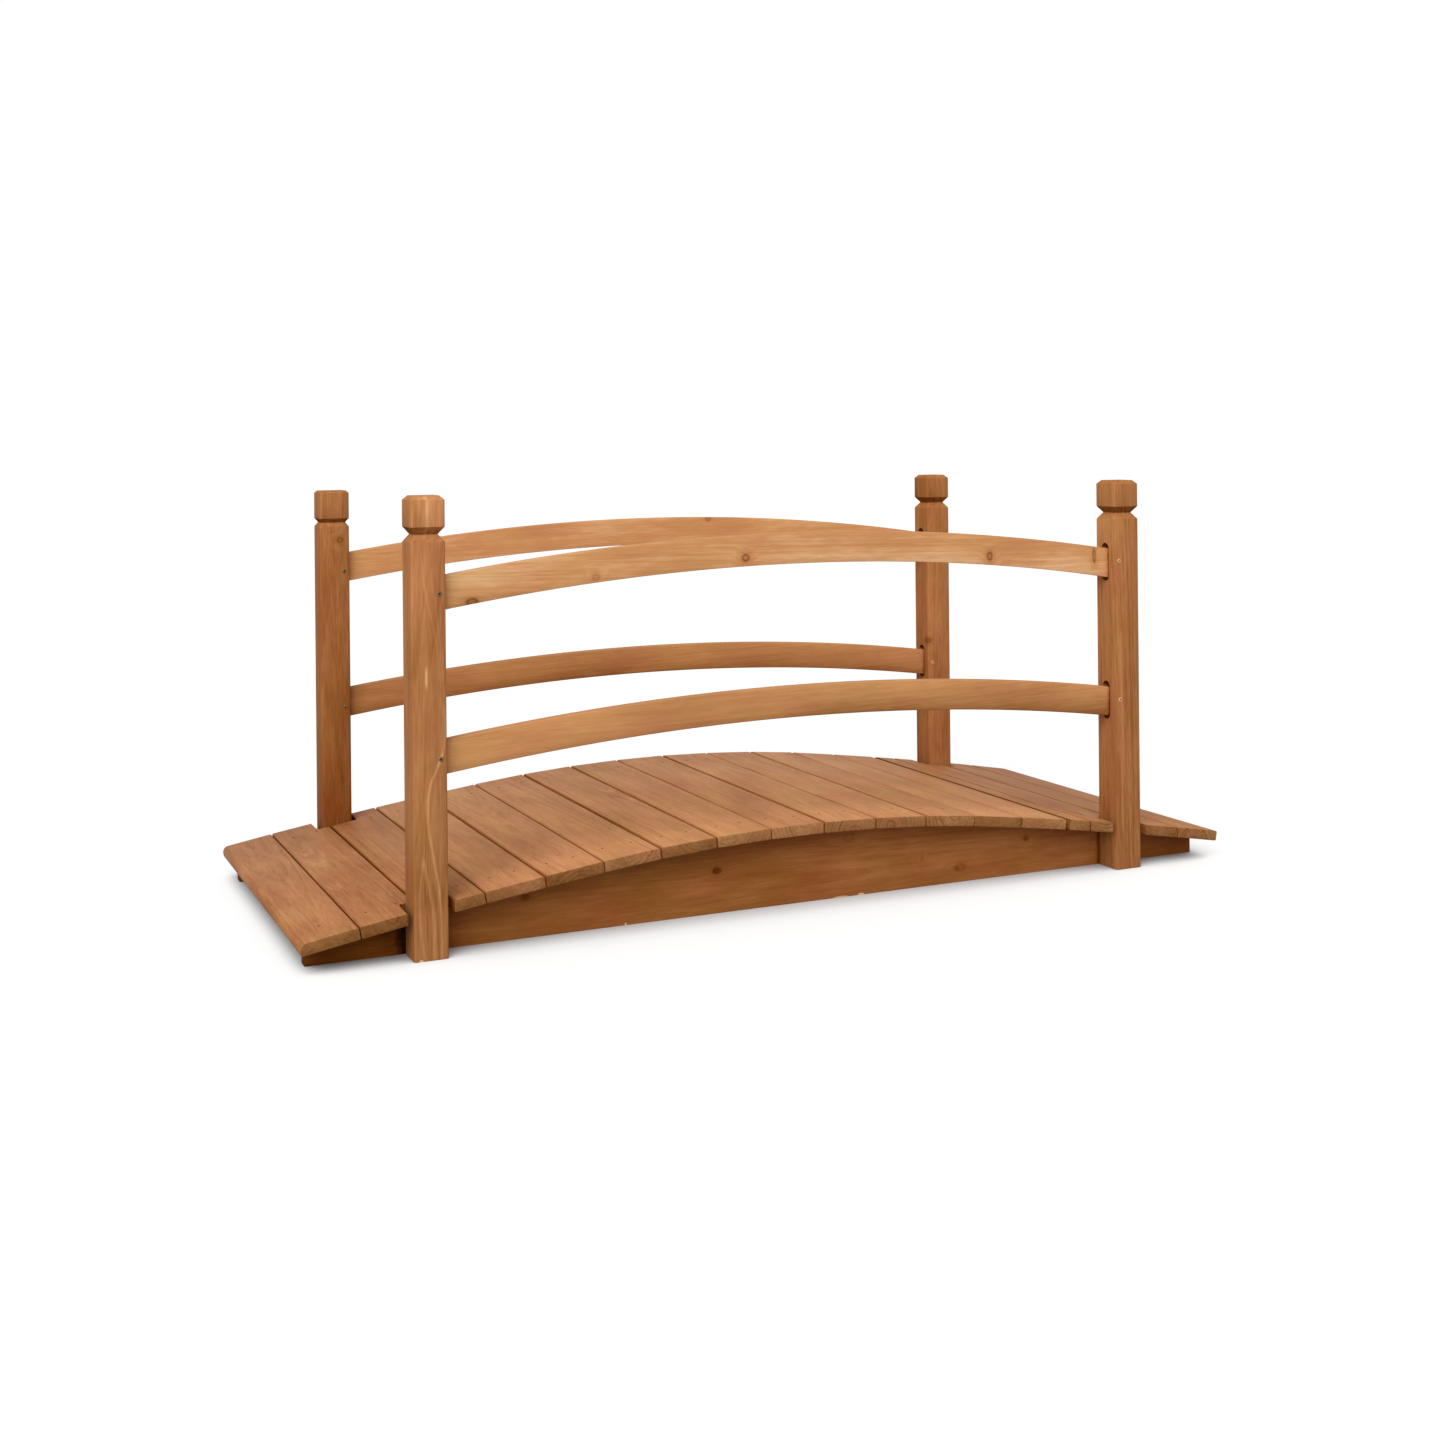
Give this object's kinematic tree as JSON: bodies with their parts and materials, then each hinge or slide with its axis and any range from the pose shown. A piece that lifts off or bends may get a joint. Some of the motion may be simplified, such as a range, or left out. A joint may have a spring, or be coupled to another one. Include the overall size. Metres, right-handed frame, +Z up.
{
  "type": "arched garden bridge",
  "caption": "Low arched timber footbridge for a garden, with crosswise deck planks on arched stringers, square posts with necked caps and bowed handrails along both sides",
  "frame": {"origin": "on the ground under the middle of the bridge", "axes": "+X along the walkway, +Y across it to the back railing, +Z up"},
  "size_m": [1.4032, 0.587, 0.584],
  "materials": {
    "stained_fir_stringers": "satin stain",
    "stained_fir_posts": "satin stain",
    "stained_fir_rails": "satin stain",
    "stained_fir_planks": "satin stain",
    "zinc_screws": "zinc plated"
  },
  "bodies": {
    "root": {"front_stringer": "stained_fir_stringers", "back_stringer": "stained_fir_stringers", "front_left_post": "stained_fir_posts", "front_right_post": "stained_fir_posts", "back_left_post": "stained_fir_posts", "back_right_post": "stained_fir_posts", "front_upper_rail": "stained_fir_rails", "front_lower_rail": "stained_fir_rails", "back_upper_rail": "stained_fir_rails", "back_lower_rail": "stained_fir_rails", "plank_01": "stained_fir_planks", "plank_02": "stained_fir_planks", "plank_03": "stained_fir_planks", "plank_04": "stained_fir_planks", "plank_05": "stained_fir_planks", "plank_06": "stained_fir_planks", "plank_07": "stained_fir_planks", "plank_08": "stained_fir_planks", "plank_09": "stained_fir_planks", "plank_10": "stained_fir_planks", "plank_11": "stained_fir_planks", "plank_12": "stained_fir_planks", "plank_13": "stained_fir_planks", "plank_14": "stained_fir_planks", "plank_15": "stained_fir_planks", "plank_16": "stained_fir_planks", "plank_17": "stained_fir_planks", "filler_strip": "stained_fir_planks"}
  },
  "joints": []
}
